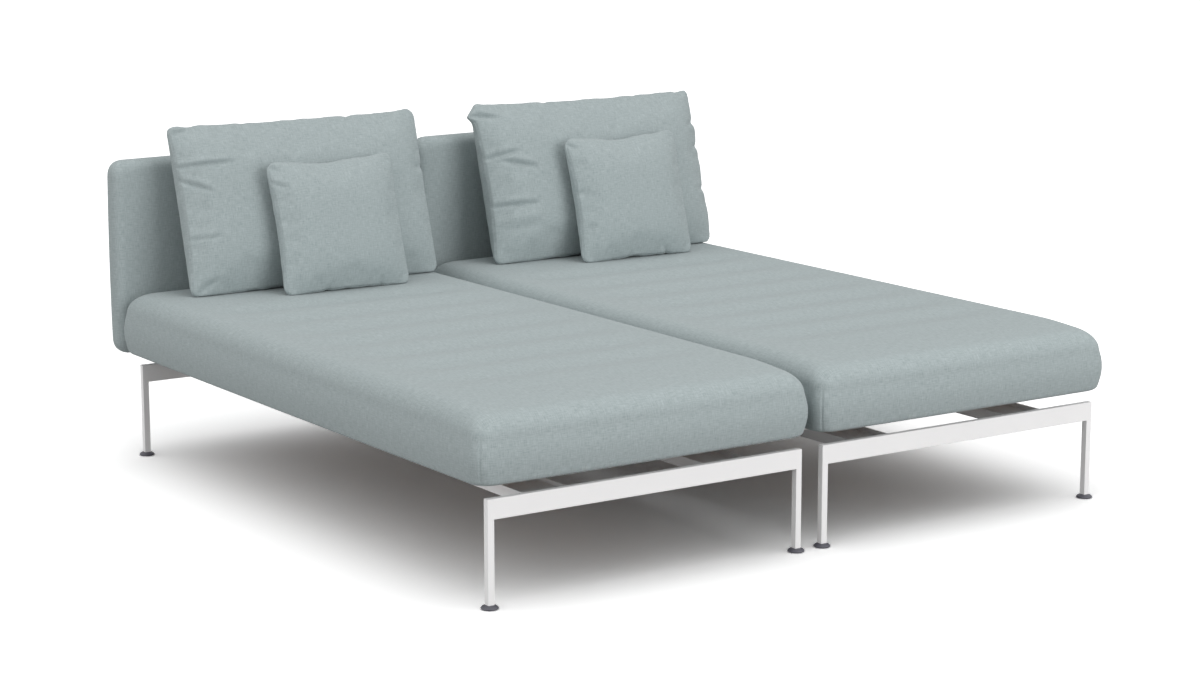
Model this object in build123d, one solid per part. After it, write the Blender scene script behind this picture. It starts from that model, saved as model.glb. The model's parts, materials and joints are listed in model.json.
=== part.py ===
from build123d import *
import math
import os

# A double chaise lounger: two upholstered chaises side by side, each a mattress on a slatted deck that
# two long beams carry between a foot-end and a head-end leg frame, with a low padded back and pillows.
# Millimetres. +X is to the right seen from the foot end, +Y towards the backs, +Z up, floor at zero.

# Leg frames
FRAME_WIDTH = 800.0
FRAME_DEPTH = 1643.0
FRAME_GAP = 57.0
BAR_SIZE = 15.0
LEG_TOP = 230.0
RAIL_HEIGHT = 43.0
EDGE_RADIUS = 1.0

# Levelling glides under the legs
GLIDE_HEIGHT = 9.0
GLIDE_DIAMETER = 38.0
GLIDE_FLAT_DIAMETER = 30.0
GLIDE_NECK_DIAMETER = 17.0
STEM_DIAMETER = 8.0
STEM_LENGTH = 26.0
STEM_ROOM = 3.0
GLIDE_SHOULDER = (0.82, 0.78)

# Long beams, an H section: upturned lips over the web and a narrower chamber under it
BEAM_INSET = 115.0
BEAM_WIDTH = 112.0
BEAM_FOOT_INSET = 16.0
BEAM_WALL = 4.0
BEAM_CHAMBER = 17.0
BEAM_LIP = 10.0
BEAM_END_PLATE = 8.0

# Slatted deck on the beams
CROSS_BAR_COUNT = 5
CROSS_BAR_INSET = 75.0
CROSS_BAR_WIDTH = 30.0
CROSS_BAR_HEIGHT = 27.0
CROSS_BAR_WALL = 2.0
SLAT_COUNT = 9
SLAT_WIDTH = 50.0
SLAT_THICKNESS = 12.0
SLAT_CORNER = 8.0
DECK_SIDE_INSET = 105.0
DECK_FOOT_INSET = 130.0
DECK_HEAD_INSET = 110.0

# Screws and bolts
BOLT_DIAMETER = 8.0
BOLT_HEAD_DIAMETER = 13.0
BOLT_HEAD_HEIGHT = 6.0
BOLT_SOCKET = 6.0
BOLT_BITE = 11.0
BOLT_TIP = 2.0
SCREW_BITE = 9.0
BOLT_MARGIN = 12.0
SCREW_DIAMETER = 6.0
SCREW_HEAD_DIAMETER = 11.0
SCREW_HEAD_DEPTH = 3.0
NUT_HEIGHT = 6.5
NUT_ACROSS_FLATS = 13.0
HOLE_ROOM = 0.8
THREAD_ROOM = 0.1
BORE_ROOM = 1.0

# Plates that join the two chaises under the beams
LINK_WIDTH = 40.0
LINK_THICKNESS = 6.0
LINK_END = 44.0
LINK_CORNER = 6.0

# Mattresses, which reach past the leg frames on all sides
MATTRESS_THICKNESS = 154.0
MATTRESS_SPLIT = 12.0
MATTRESS_FOOT_OVERHANG = 20.0
MATTRESS_HEAD_OVERHANG = 47.0
MATTRESS_SIDE_OVERHANG = 35.5
MATTRESS_CORNER = 38.0
MATTRESS_TOP_RADIUS = 50.0
MATTRESS_BOTTOM_RADIUS = 14.0
MATTRESS_CROWN = 3.0
MATTRESS_CROWN_REACH = 130.0
MATTRESS_BULGE = 6.0
MATTRESS_BOW = 2.0

# Padded backs
BACK_SIDE_INSET = 2.0
BACK_THICKNESS = 62.0
BACK_BOTTOM = 246.0
BACK_TOP = 736.0
BACK_CORNER = 32.0
BACK_EDGE_RADIUS = 25.0
BACK_BOW = 2.0
BACK_BOARD_SIDE_INSET = 47.0
BACK_BOARD_THICKNESS = 12.0
BACK_BOARD_INSET = 34.0
BACK_BOARD_COVER = 20.0
BACK_BOARD_CORNER = 20.0
UPRIGHT_WIDTH = 50.0
UPRIGHT_THICKNESS = 8.0
UPRIGHT_BEND = 10.0
UPRIGHT_FOLD = 1.0
UPRIGHT_TOP = 640.0
BACK_BOLT_SPREAD = 26.0
BACK_SCREW_COUNT = 3
BACK_SCREW_MARGIN = 40.0

# Big pillows and small pillows
PILLOW_WIDTH = 700.0
PILLOW_HEIGHT = 414.0
PILLOW_EDGE = 24.0
PILLOW_FRONT = 54.0
PILLOW_REAR = 73.0
PILLOW_REACH = 100.0
PILLOW_CORNER = 25.0
PILLOW_DRAW = 7.0
PILLOW_SHIFTS = {"left": 41.0, "right": 47.0}
SMALL_WIDTH = 352.0
SMALL_HEIGHT = 321.0
SMALL_EDGE = 18.0
SMALL_FRONT = 45.0
SMALL_REAR = 31.0
SMALL_REACH = 78.0
SMALL_CORNER = 26.0
SMALL_DRAW = 7.0
SMALL_SHIFTS = {"left": 67.0, "right": 77.0}
PILLOW_ROUNDING = 0.3
PILLOW_LEAN = 16.0
CROWN_STEPS = 9

# Play that soft and moving pieces keep from what carries them
SEAT_PLAY = 0.3
SOFT_PLAY = 0.4

# Widths that follow from the sizes above
MATTRESS_WIDTH = FRAME_WIDTH + (FRAME_GAP - MATTRESS_SPLIT) / 2 + MATTRESS_SIDE_OVERHANG
BACK_WIDTH = MATTRESS_WIDTH - 2 * BACK_SIDE_INSET
BACK_BOARD_WIDTH = BACK_WIDTH - 2 * BACK_BOARD_SIDE_INSET
DECK_WIDTH = MATTRESS_WIDTH - 2 * DECK_SIDE_INSET
BEAM_OFFSET = (FRAME_WIDTH - BEAM_WIDTH) / 2 - BEAM_INSET
BOLT_SPREAD = BEAM_WIDTH - 2 * (BEAM_FOOT_INSET + BEAM_WALL + BOLT_MARGIN)
FRAME_X = (FRAME_GAP + FRAME_WIDTH) / 2
MATTRESS_X = (MATTRESS_SPLIT + MATTRESS_WIDTH) / 2

# Heights and depths that follow from the sizes above
MATTRESS_LENGTH = MATTRESS_FOOT_OVERHANG + FRAME_DEPTH + MATTRESS_HEAD_OVERHANG
LEG_BOTTOM = GLIDE_HEIGHT
RAIL_BOTTOM = LEG_TOP - RAIL_HEIGHT
WEB_BOTTOM = RAIL_BOTTOM + BEAM_CHAMBER
WEB_TOP = WEB_BOTTOM + BEAM_WALL
LIP_TOP = WEB_TOP + BEAM_LIP
SLAT_BOTTOM = LIP_TOP + CROSS_BAR_HEIGHT
SLAT_TOP = SLAT_BOTTOM + SLAT_THICKNESS
MATTRESS_BOTTOM = SLAT_TOP + SEAT_PLAY
MATTRESS_TOP = MATTRESS_BOTTOM + MATTRESS_THICKNESS
OVERALL_DEPTH = MATTRESS_LENGTH + SOFT_PLAY + BACK_THICKNESS
FOOT_Y = -OVERALL_DEPTH / 2
MATTRESS_HEAD_Y = FOOT_Y + MATTRESS_LENGTH
FRAME_FRONT_Y = FOOT_Y + MATTRESS_FOOT_OVERHANG
FRAME_BACK_Y = FRAME_FRONT_Y + FRAME_DEPTH
BEAM_FRONT_Y = FRAME_FRONT_Y + BAR_SIZE
BEAM_LENGTH = FRAME_DEPTH - 2 * BAR_SIZE
BACK_FRONT_Y = MATTRESS_HEAD_Y + SOFT_PLAY
BOARD_FRONT_Y = BACK_FRONT_Y + BACK_BOARD_COVER
UPRIGHT_FRONT_Y = BOARD_FRONT_Y + BACK_BOARD_THICKNESS
UPRIGHT_BACK_Y = UPRIGHT_FRONT_Y + UPRIGHT_THICKNESS
BOARD_BOTTOM = BACK_BOTTOM + BACK_BOARD_INSET
BOARD_TOP = BACK_TOP - BACK_BOARD_INSET
LEAN = math.radians(PILLOW_LEAN)
SIDES = {"left": -1, "right": 1}

os.makedirs("parts", exist_ok=True)


def save(name, shape):
    """Write one sub-part to its own file."""
    export_step(shape, f"parts/{name}.step")


def block(low, high):
    """A box between two corners."""
    size = [b - a for a, b in zip(low, high)]
    return Pos(*low) * Box(*size, align=(Align.MIN, Align.MIN, Align.MIN))


def rod(point, direction, radius, length):
    """A round bar from a point along a direction."""
    bar = Cylinder(radius, length, align=(Align.CENTER, Align.CENTER, Align.MIN))
    return Plane(origin=point, z_dir=direction) * bar


def bolt(seat, direction, grip):
    """A socket-head bolt whose head sits on seat; its shank runs along direction through grip."""
    back = [-d for d in direction]
    top = [a + b * BOLT_HEAD_HEIGHT for a, b in zip(seat, back)]
    body = rod(seat, back, BOLT_HEAD_DIAMETER / 2, BOLT_HEAD_HEIGHT)
    body += rod(seat, direction, BOLT_DIAMETER / 2, grip)
    hexagon = Plane(origin=top, z_dir=direction) * RegularPolygon(BOLT_SOCKET / 2, 6, major_radius=False)
    return body - extrude(hexagon, BOLT_HEAD_HEIGHT / 2, dir=direction)


def screw(seat, direction, grip):
    """A pan-head screw whose head sits on seat; its shank runs along direction through grip."""
    head = rod(seat, [-d for d in direction], SCREW_HEAD_DIAMETER / 2, SCREW_HEAD_DEPTH)
    return head + rod(seat, direction, SCREW_DIAMETER / 2, grip)


def outline(plane, width, height, corner, draw):
    """A rounded rectangle whose sides are drawn in by draw at their middles, or bowed out if negative."""
    a = width / 2
    b = height / 2
    c = min(corner, a * 0.9, b * 0.9)
    k = c * (1 - math.sqrt(0.5))
    arcs = [
        ThreePointArc((c - a, -b), (0, draw - b), (a - c, -b)),
        ThreePointArc((a - c, -b), (a - k, k - b), (a, c - b)),
        ThreePointArc((a, c - b), (a - draw, 0), (a, b - c)),
        ThreePointArc((a, b - c), (a - k, b - k), (a - c, b)),
        ThreePointArc((a - c, b), (0, b - draw), (c - a, b)),
        ThreePointArc((c - a, b), (k - a, b - k), (-a, b - c)),
        ThreePointArc((-a, b - c), (draw - a, 0), (-a, c - b)),
        ThreePointArc((-a, c - b), (k - a, k - b), (c - a, -b)),
    ]
    return plane * make_face(Curve() + arcs)


# Leg frames


def leg(x, y, outer_side, outer_end):
    """A square leg with its outer corner edges eased and a bore for the glide's stem."""
    half = BAR_SIZE / 2
    body = block((x - half, y - half, LEG_BOTTOM), (x + half, y + half, LEG_TOP))
    outer_edges = [
        edge
        for edge in body.edges().filter_by(Axis.Z)
        if (edge.center().X - x) * outer_side > 0 and (edge.center().Y - y) * outer_end > 0
    ]
    body = fillet(outer_edges, EDGE_RADIUS)
    bore = rod((x, y, LEG_BOTTOM), (0, 0, 1), STEM_DIAMETER / 2 + THREAD_ROOM, STEM_LENGTH + STEM_ROOM)
    return body - bore


def rail(x, y, bolt_places):
    """The flat bar between two legs, with blind threads on its inner face for the beam bolts."""
    reach = FRAME_WIDTH / 2 - BAR_SIZE
    half = BAR_SIZE / 2
    body = block((x - reach, y - half, RAIL_BOTTOM), (x + reach, y + half, LEG_TOP))
    body = fillet(body.edges().filter_by(Axis.X), EDGE_RADIUS)
    radius = BOLT_DIAMETER / 2 + THREAD_ROOM
    for place_x, place_z, towards in bolt_places:
        face_y = y + half * towards
        body -= rod((place_x, face_y, place_z), (0, -towards, 0), radius, BOLT_BITE + BORE_ROOM)
    return body


def glide(x, y):
    """A domed levelling foot: a flat sole, a rounded rim, a neck and a stem that screws into the leg."""
    top = GLIDE_HEIGHT - SEAT_PLAY
    rim = GLIDE_DIAMETER / 2
    rim_z = GLIDE_HEIGHT / 3
    sole = Line((0, 0), (GLIDE_FLAT_DIAMETER / 2, 0))
    lower = TangentArc(sole @ 1, (rim, rim_z), tangent=(1, 0))
    shoulder = (rim * GLIDE_SHOULDER[0], top * GLIDE_SHOULDER[1])
    upper = ThreePointArc((rim, rim_z), shoulder, (GLIDE_NECK_DIAMETER / 2, top))
    close = Polyline(upper @ 1, (0, top), (0, 0))
    dome = revolve(Plane.XZ * make_face(sole + lower + upper + close), Axis.Z)
    return Pos(x, y, 0) * (dome + rod((0, 0, top), (0, 0, 1), STEM_DIAMETER / 2, STEM_LENGTH + SEAT_PLAY))


def beam_bolt_places(x):
    """Places of the four bolts that hold the two beams of one chaise to one rail."""
    middle = (RAIL_BOTTOM + WEB_BOTTOM) / 2
    return [(x + s * BEAM_OFFSET + t * BOLT_SPREAD / 2, middle) for s in (-1, 1) for t in (-1, 1)]


def back_bolt_places(x):
    """Places of the bolts that hold the two back uprights of one chaise to the head rail."""
    middle = (RAIL_BOTTOM + LEG_TOP) / 2
    return [(x + s * BEAM_OFFSET + t * BACK_BOLT_SPREAD / 2, middle) for s in (-1, 1) for t in (-1, 1)]


for side, sign in SIDES.items():
    centre = sign * FRAME_X
    half = BAR_SIZE / 2
    for end, face_y, inward in (("foot", FRAME_FRONT_Y, 1), ("head", FRAME_BACK_Y, -1)):
        y = face_y + inward * half
        places = [(px, pz, inward) for px, pz in beam_bolt_places(centre)]
        if end == "head":
            places += [(px, pz, -inward) for px, pz in back_bolt_places(centre)]
        save(f"{side}_{end}_rail", rail(centre, y, places))
        for flank, outwards in (("outer", sign), ("inner", -sign)):
            x = centre + outwards * (FRAME_WIDTH / 2 - half)
            save(f"{side}_{end}_{flank}_leg", leg(x, y, outwards, -inward))
            save(f"{side}_{end}_{flank}_glide", glide(x, y))

# Beams


def beam(x):
    """An H-section beam between the two rails, closed below its web at both ends by a bolted plate."""
    half = BEAM_WIDTH / 2
    foot = half - BEAM_FOOT_INSET
    front = BEAM_FRONT_Y
    back = front + BEAM_LENGTH
    body = block((x - half, front, WEB_BOTTOM), (x + half, back, LIP_TOP))
    body += block((x - foot, front, RAIL_BOTTOM), (x + foot, back, WEB_BOTTOM))
    inner = half - BEAM_WALL
    body -= block((x - inner, front, WEB_TOP), (x + inner, back, LIP_TOP))
    plate = BEAM_END_PLATE
    inner = foot - BEAM_WALL
    body -= block((x - inner, front + plate, RAIL_BOTTOM), (x + inner, back - plate, WEB_BOTTOM))
    for place_x, place_z in beam_bolt_places(math.copysign(FRAME_X, x)):
        if abs(place_x - x) < half:
            body -= rod((place_x, front, place_z), (0, 1, 0), (BOLT_DIAMETER + HOLE_ROOM) / 2, BEAM_LENGTH)
    for place_y in cross_bar_places():
        body -= rod((x, place_y, WEB_BOTTOM), (0, 0, 1), (SCREW_DIAMETER + HOLE_ROOM) / 2, BEAM_WALL)
    if abs(x) < FRAME_X:
        for place_y in link_places():
            body -= rod((x, place_y, WEB_BOTTOM), (0, 0, 1), (BOLT_DIAMETER + HOLE_ROOM) / 2, BEAM_WALL)
    return body


def cross_bar_places():
    """Centre lines of the cross bars along the deck."""
    first = FOOT_Y + DECK_FOOT_INSET + CROSS_BAR_INSET + CROSS_BAR_WIDTH / 2
    last = MATTRESS_HEAD_Y - DECK_HEAD_INSET - CROSS_BAR_INSET - CROSS_BAR_WIDTH / 2
    step = (last - first) / (CROSS_BAR_COUNT - 1)
    return [first + i * step for i in range(CROSS_BAR_COUNT)]


def link_places():
    """Centre lines of the link plates, midway between the first two and the last two cross bars."""
    bars = cross_bar_places()
    return [(bars[0] + bars[1]) / 2, (bars[-2] + bars[-1]) / 2]


def beam_bolts(x):
    """The bolts through the end plates of one chaise's beams into its rails."""
    grip = BEAM_END_PLATE + BOLT_BITE
    front = BEAM_FRONT_Y + BEAM_END_PLATE
    back = BEAM_FRONT_Y + BEAM_LENGTH - BEAM_END_PLATE
    bolts = []
    for place_x, place_z in beam_bolt_places(x):
        bolts.append(bolt((place_x, front, place_z), (0, -1, 0), grip))
        bolts.append(bolt((place_x, back, place_z), (0, 1, 0), grip))
    return Compound(bolts)


for side, sign in SIDES.items():
    centre = sign * FRAME_X
    for flank, outwards in (("outer", sign), ("inner", -sign)):
        save(f"{side}_{flank}_beam", beam(centre + outwards * BEAM_OFFSET))
    save(f"{side}_beam_bolts", beam_bolts(centre))

# Deck


def cross_bar(x, deck_x, y):
    """A square-cut tube across the lips of both beams, with a threaded hole over each beam's web."""
    reach = DECK_WIDTH / 2
    half = CROSS_BAR_WIDTH / 2
    wall = CROSS_BAR_WALL
    body = block((deck_x - reach, y - half, LIP_TOP), (deck_x + reach, y + half, SLAT_BOTTOM))
    inside = half - wall
    low = (deck_x - reach, y - inside, LIP_TOP + wall)
    body -= block(low, (deck_x + reach, y + inside, SLAT_BOTTOM - wall))
    for s in (-1, 1):
        hole = (x + s * BEAM_OFFSET, y, LIP_TOP)
        body -= rod(hole, (0, 0, 1), SCREW_DIAMETER / 2 + THREAD_ROOM, wall)
    return body


def slat(x):
    """One deck slat, laid along the chaise, with eased corners."""
    front = FOOT_Y + DECK_FOOT_INSET
    back = MATTRESS_HEAD_Y - DECK_HEAD_INSET
    half = SLAT_WIDTH / 2
    body = block((x - half, front, SLAT_BOTTOM), (x + half, back, SLAT_TOP))
    return fillet(body.edges().filter_by(Axis.Z), SLAT_CORNER)


for side, sign in SIDES.items():
    centre = sign * FRAME_X
    deck_x = sign * MATTRESS_X
    save(f"{side}_cross_bars", Compound([cross_bar(centre, deck_x, y) for y in cross_bar_places()]))
    seats = [(centre + s * BEAM_OFFSET, y, WEB_BOTTOM) for y in cross_bar_places() for s in (-1, 1)]
    grip = LIP_TOP + CROSS_BAR_WALL - WEB_BOTTOM
    save(f"{side}_deck_screws", Compound([screw(seat, (0, 0, 1), grip) for seat in seats]))
    pitch = (DECK_WIDTH - SLAT_WIDTH) / (SLAT_COUNT - 1)
    first = deck_x - (DECK_WIDTH - SLAT_WIDTH) / 2
    save(f"{side}_seat_slats", Compound([slat(first + i * pitch) for i in range(SLAT_COUNT)]))

# Link between the two chaises


def link_plate(y):
    """A flat bar under the chambers of the two inner beams, with a hole for the bolt at each end."""
    reach = FRAME_X - BEAM_OFFSET
    top = RAIL_BOTTOM
    bottom = top - LINK_THICKNESS
    half = LINK_WIDTH / 2
    body = block((-reach - LINK_END, y - half, bottom), (reach + LINK_END, y + half, top))
    body = fillet(body.edges().filter_by(Axis.Z), LINK_CORNER)
    for x in (-reach, reach):
        body -= rod((x, y, bottom), (0, 0, 1), (BOLT_DIAMETER + HOLE_ROOM) / 2, LINK_THICKNESS)
    return body


def nut(x, y):
    """A hexagon nut on the web of a beam, round the end of a link bolt."""
    hexagon = Pos(x, y, WEB_TOP) * RegularPolygon(NUT_ACROSS_FLATS / 2, 6, major_radius=False)
    thread = rod((x, y, WEB_TOP), (0, 0, 1), BOLT_DIAMETER / 2 + THREAD_ROOM, NUT_HEIGHT)
    return extrude(hexagon, NUT_HEIGHT) - thread


link_spots = [(x, y) for x in (BEAM_OFFSET - FRAME_X, FRAME_X - BEAM_OFFSET) for y in link_places()]
link_seat = RAIL_BOTTOM - LINK_THICKNESS
link_grip = WEB_TOP + NUT_HEIGHT + BOLT_TIP - link_seat
for end, place_y in zip(("foot", "head"), link_places()):
    save(f"{end}_link_plate", link_plate(place_y))
save("link_bolts", Compound([bolt((x, y, link_seat), (0, 0, 1), link_grip) for x, y in link_spots]))
save("link_nuts", Compound([nut(x, y) for x, y in link_spots]))

# Backs


def screw_heights():
    """Heights of the screws that hold a back board to its uprights."""
    low = BOARD_BOTTOM + BACK_SCREW_MARGIN
    high = UPRIGHT_TOP - BACK_SCREW_MARGIN
    return [low + i * (high - low) / (BACK_SCREW_COUNT - 1) for i in range(BACK_SCREW_COUNT)]


def upright(x, bolt_places):
    """A flat bar bent from the back of the head rail out under the mattress and up inside the back."""
    thick = UPRIGHT_THICKNESS
    run_z = LEG_TOP - thick
    points = [
        (FRAME_BACK_Y, RAIL_BOTTOM),
        (FRAME_BACK_Y, LEG_TOP),
        (UPRIGHT_FRONT_Y, LEG_TOP),
        (UPRIGHT_FRONT_Y, UPRIGHT_TOP),
        (UPRIGHT_BACK_Y, UPRIGHT_TOP),
        (UPRIGHT_BACK_Y, run_z),
        (FRAME_BACK_Y + thick, run_z),
        (FRAME_BACK_Y + thick, RAIL_BOTTOM),
    ]
    section = Plane.YZ.offset(x - UPRIGHT_WIDTH / 2) * make_face(Polyline(points, close=True))
    body = extrude(section, UPRIGHT_WIDTH)
    radii = {1: thick, 2: UPRIGHT_BEND, 5: UPRIGHT_BEND + thick, 6: UPRIGHT_FOLD}
    for corner, radius in radii.items():
        y, z = points[corner]
        bend = body.edges().filter_by(Axis.X).sort_by_distance(Vector(x, y, z))[0]
        body = fillet(bend, radius)
    for place_x, place_z in bolt_places:
        hole = (BOLT_DIAMETER + HOLE_ROOM) / 2
        body -= rod((place_x, FRAME_BACK_Y, place_z), (0, 1, 0), hole, thick)
    for place_z in screw_heights():
        body -= rod((x, UPRIGHT_FRONT_Y, place_z), (0, 1, 0), (SCREW_DIAMETER + HOLE_ROOM) / 2, thick)
    return body


def back_board(x):
    """The plywood board inside a padded back, with a blind hole for each screw."""
    half = BACK_BOARD_WIDTH / 2
    back_y = BOARD_FRONT_Y + BACK_BOARD_THICKNESS
    body = block((x - half, BOARD_FRONT_Y, BOARD_BOTTOM), (x + half, back_y, BOARD_TOP))
    body = fillet(body.edges().filter_by(Axis.Y), BACK_BOARD_CORNER)
    for upright_x in upright_places(x):
        for place_z in screw_heights():
            hole = SCREW_DIAMETER / 2 + THREAD_ROOM
            body -= rod((upright_x, back_y, place_z), (0, -1, 0), hole, SCREW_BITE + SEAT_PLAY)
    return body


def upright_places(x):
    """Places of the two uprights of the back centred on x, in line with the beams of its chaise."""
    return [math.copysign(FRAME_X, x) + s * BEAM_OFFSET for s in (-1, 1)]


def padded_back(x):
    """A rounded upholstered back with pockets from below for its board, the uprights and their screws."""
    middle = Plane(origin=(x, BACK_FRONT_Y, (BACK_BOTTOM + BACK_TOP) / 2), x_dir=(-1, 0, 0), z_dir=(0, 1, 0))
    height = BACK_TOP - BACK_BOTTOM - 2 * BACK_BOW
    face = outline(middle, BACK_WIDTH - 2 * BACK_BOW, height, BACK_CORNER, -BACK_BOW)
    body = extrude(face, BACK_THICKNESS, dir=(0, 1, 0))
    body = fillet(body.faces().filter_by(Axis.Y).edges(), BACK_EDGE_RADIUS)
    play = SEAT_PLAY
    half = BACK_BOARD_WIDTH / 2 + play
    low = (x - half, BOARD_FRONT_Y - play, BACK_BOTTOM)
    body -= block(low, (x + half, UPRIGHT_FRONT_Y, BOARD_TOP + play))
    half = UPRIGHT_WIDTH / 2 + play
    deep = UPRIGHT_BACK_Y + SCREW_HEAD_DEPTH + play
    for upright_x in upright_places(x):
        low = (upright_x - half, UPRIGHT_FRONT_Y, BACK_BOTTOM)
        body -= block(low, (upright_x + half, deep, UPRIGHT_TOP + play))
    return body


for side, sign in SIDES.items():
    centre = sign * FRAME_X
    places = back_bolt_places(centre)
    for flank, outwards in (("outer", sign), ("inner", -sign)):
        x = centre + outwards * BEAM_OFFSET
        own = [place for place in places if abs(place[0] - x) < UPRIGHT_WIDTH / 2]
        save(f"{side}_{flank}_upright", upright(x, own))
    seat_y = FRAME_BACK_Y + UPRIGHT_THICKNESS
    grip = UPRIGHT_THICKNESS + BOLT_BITE
    save(f"{side}_back_bolts", Compound([bolt((px, seat_y, pz), (0, -1, 0), grip) for px, pz in places]))
    back_x = sign * MATTRESS_X
    spots = [(px, UPRIGHT_BACK_Y, pz) for px in upright_places(back_x) for pz in screw_heights()]
    grip = UPRIGHT_THICKNESS + SCREW_BITE
    save(f"{side}_back_screws", Compound([screw(spot, (0, -1, 0), grip) for spot in spots]))
    save(f"{side}_back_board", back_board(back_x))
    save(f"{side}_padded_back", padded_back(back_x))

# Mattresses


def mattress(x):
    """A soft block lofted through outlines: flat below, bulged sides, a large top radius, a low crown."""
    low = MATTRESS_BOTTOM_RADIUS
    high = MATTRESS_THICKNESS - MATTRESS_CROWN - MATTRESS_TOP_RADIUS
    rows = []
    for turn in range(0, 91, 30):
        bend = math.radians(turn)
        rows.append((low * (1 - math.cos(bend)), MATTRESS_BULGE + low * (1 - math.sin(bend))))
    for share in (-0.5, 0, 0.5):
        rows.append((low + (high - low) * (share + 1) / 2, MATTRESS_BULGE * share**2))
    for turn in range(0, 90, 20):
        bend = math.radians(turn)
        level = high + MATTRESS_TOP_RADIUS * math.sin(bend)
        rows.append((level, MATTRESS_BULGE + MATTRESS_TOP_RADIUS * (1 - math.cos(bend))))
    for share in (0.25, 0.5, 0.75, 1):
        level = MATTRESS_THICKNESS - MATTRESS_CROWN * (1 - share) ** 2
        inset = MATTRESS_TOP_RADIUS + share * (MATTRESS_CROWN_REACH - MATTRESS_TOP_RADIUS)
        rows.append((level, MATTRESS_BULGE + inset))
    middle_y = FOOT_Y + MATTRESS_LENGTH / 2
    sections = []
    for level, inset in rows:
        plane = Plane((x, middle_y, MATTRESS_BOTTOM + level))
        trim = 2 * (inset + MATTRESS_BOW)
        size = (MATTRESS_WIDTH - trim, MATTRESS_LENGTH - trim)
        sections.append(outline(plane, *size, MATTRESS_CORNER, -MATTRESS_BOW))
    return loft(sections)


for side, sign in SIDES.items():
    save(f"{side}_mattress", mattress(sign * MATTRESS_X))

# Pillows


def crown(reach, rise):
    """Rows of inset and height, up the quarter ellipse on which a pillow's panel swells from its seam."""
    turns = [math.radians(90) * step / CROWN_STEPS for step in range(1, CROWN_STEPS + 1)]
    return [(reach * (1 - math.cos(turn)), rise * math.sin(turn)) for turn in turns]


def pillow(size, edge, front, rear, reach, corner, draw):
    """A pillow that leans back from its lower edge at the origin: a side band with a crown over each face."""
    width, tall = size
    rows = [(inset, -edge / 2 - height) for inset, height in reversed(crown(reach, rear))]
    rows += [(0, -edge / 2), (0, edge / 2)]
    rows += [(inset, edge / 2 + height) for inset, height in crown(reach, front)]
    upwards = Vector(0, math.sin(LEAN), math.cos(LEAN))
    forwards = Vector(0, -math.cos(LEAN), math.sin(LEAN))
    sections = []
    for inset, level in rows:
        plane = Plane(origin=upwards * (tall / 2) + forwards * level, x_dir=(1, 0, 0), z_dir=forwards)
        rounding = corner + inset * PILLOW_ROUNDING
        sections.append(outline(plane, width - 2 * inset, tall - 2 * inset, rounding, draw))
    return loft(sections, ruled=True)


def lowered(shape):
    """Height at which a shape's origin stands when its lowest point is SEAT_PLAY over the mattresses."""
    return MATTRESS_TOP + SEAT_PLAY - shape.bounding_box().min.Z


big_size = (PILLOW_WIDTH, PILLOW_HEIGHT)
big = pillow(big_size, PILLOW_EDGE, PILLOW_FRONT, PILLOW_REAR, PILLOW_REACH, PILLOW_CORNER, PILLOW_DRAW)
small_size = (SMALL_WIDTH, SMALL_HEIGHT)
small = pillow(small_size, SMALL_EDGE, SMALL_FRONT, SMALL_REAR, SMALL_REACH, SMALL_CORNER, SMALL_DRAW)

# The big pillow's rear face lies on the rounded top edge of the back, the small one's on the big one.
big_z = lowered(big)
edge_height = BACK_TOP - BACK_EDGE_RADIUS - big_z
big_reach = PILLOW_EDGE / 2 + PILLOW_REAR + SOFT_PLAY + BACK_EDGE_RADIUS + edge_height * math.sin(LEAN)
big_y = BACK_FRONT_Y + BACK_EDGE_RADIUS - big_reach / math.cos(LEAN)
small_z = lowered(small)
small_reach = PILLOW_EDGE / 2 + PILLOW_FRONT + SOFT_PLAY + SMALL_REAR + SMALL_EDGE / 2
small_reach += (big_z - small_z) * math.sin(LEAN)
small_y = big_y - small_reach / math.cos(LEAN)
for side, sign in SIDES.items():
    save(f"{side}_big_pillow", Pos(sign * MATTRESS_X + PILLOW_SHIFTS[side], big_y, big_z) * big)
    save(f"{side}_small_pillow", Pos(sign * MATTRESS_X + SMALL_SHIFTS[side], small_y, small_z) * small)
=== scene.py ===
# %% [markdown]
# A double chaise lounger, dressed for a studio picture.
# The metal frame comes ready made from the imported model, so this script gives it finishes and builds the soft
# parts round it: two mattresses, two padded backs and four pillows. Every length is in metres, and every soft
# part takes its place from the box of the plain solid that it stands for.

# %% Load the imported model
import json
import math

import bpy
import numpy as np
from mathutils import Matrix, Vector
from mathutils.kdtree import KDTree

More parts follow.
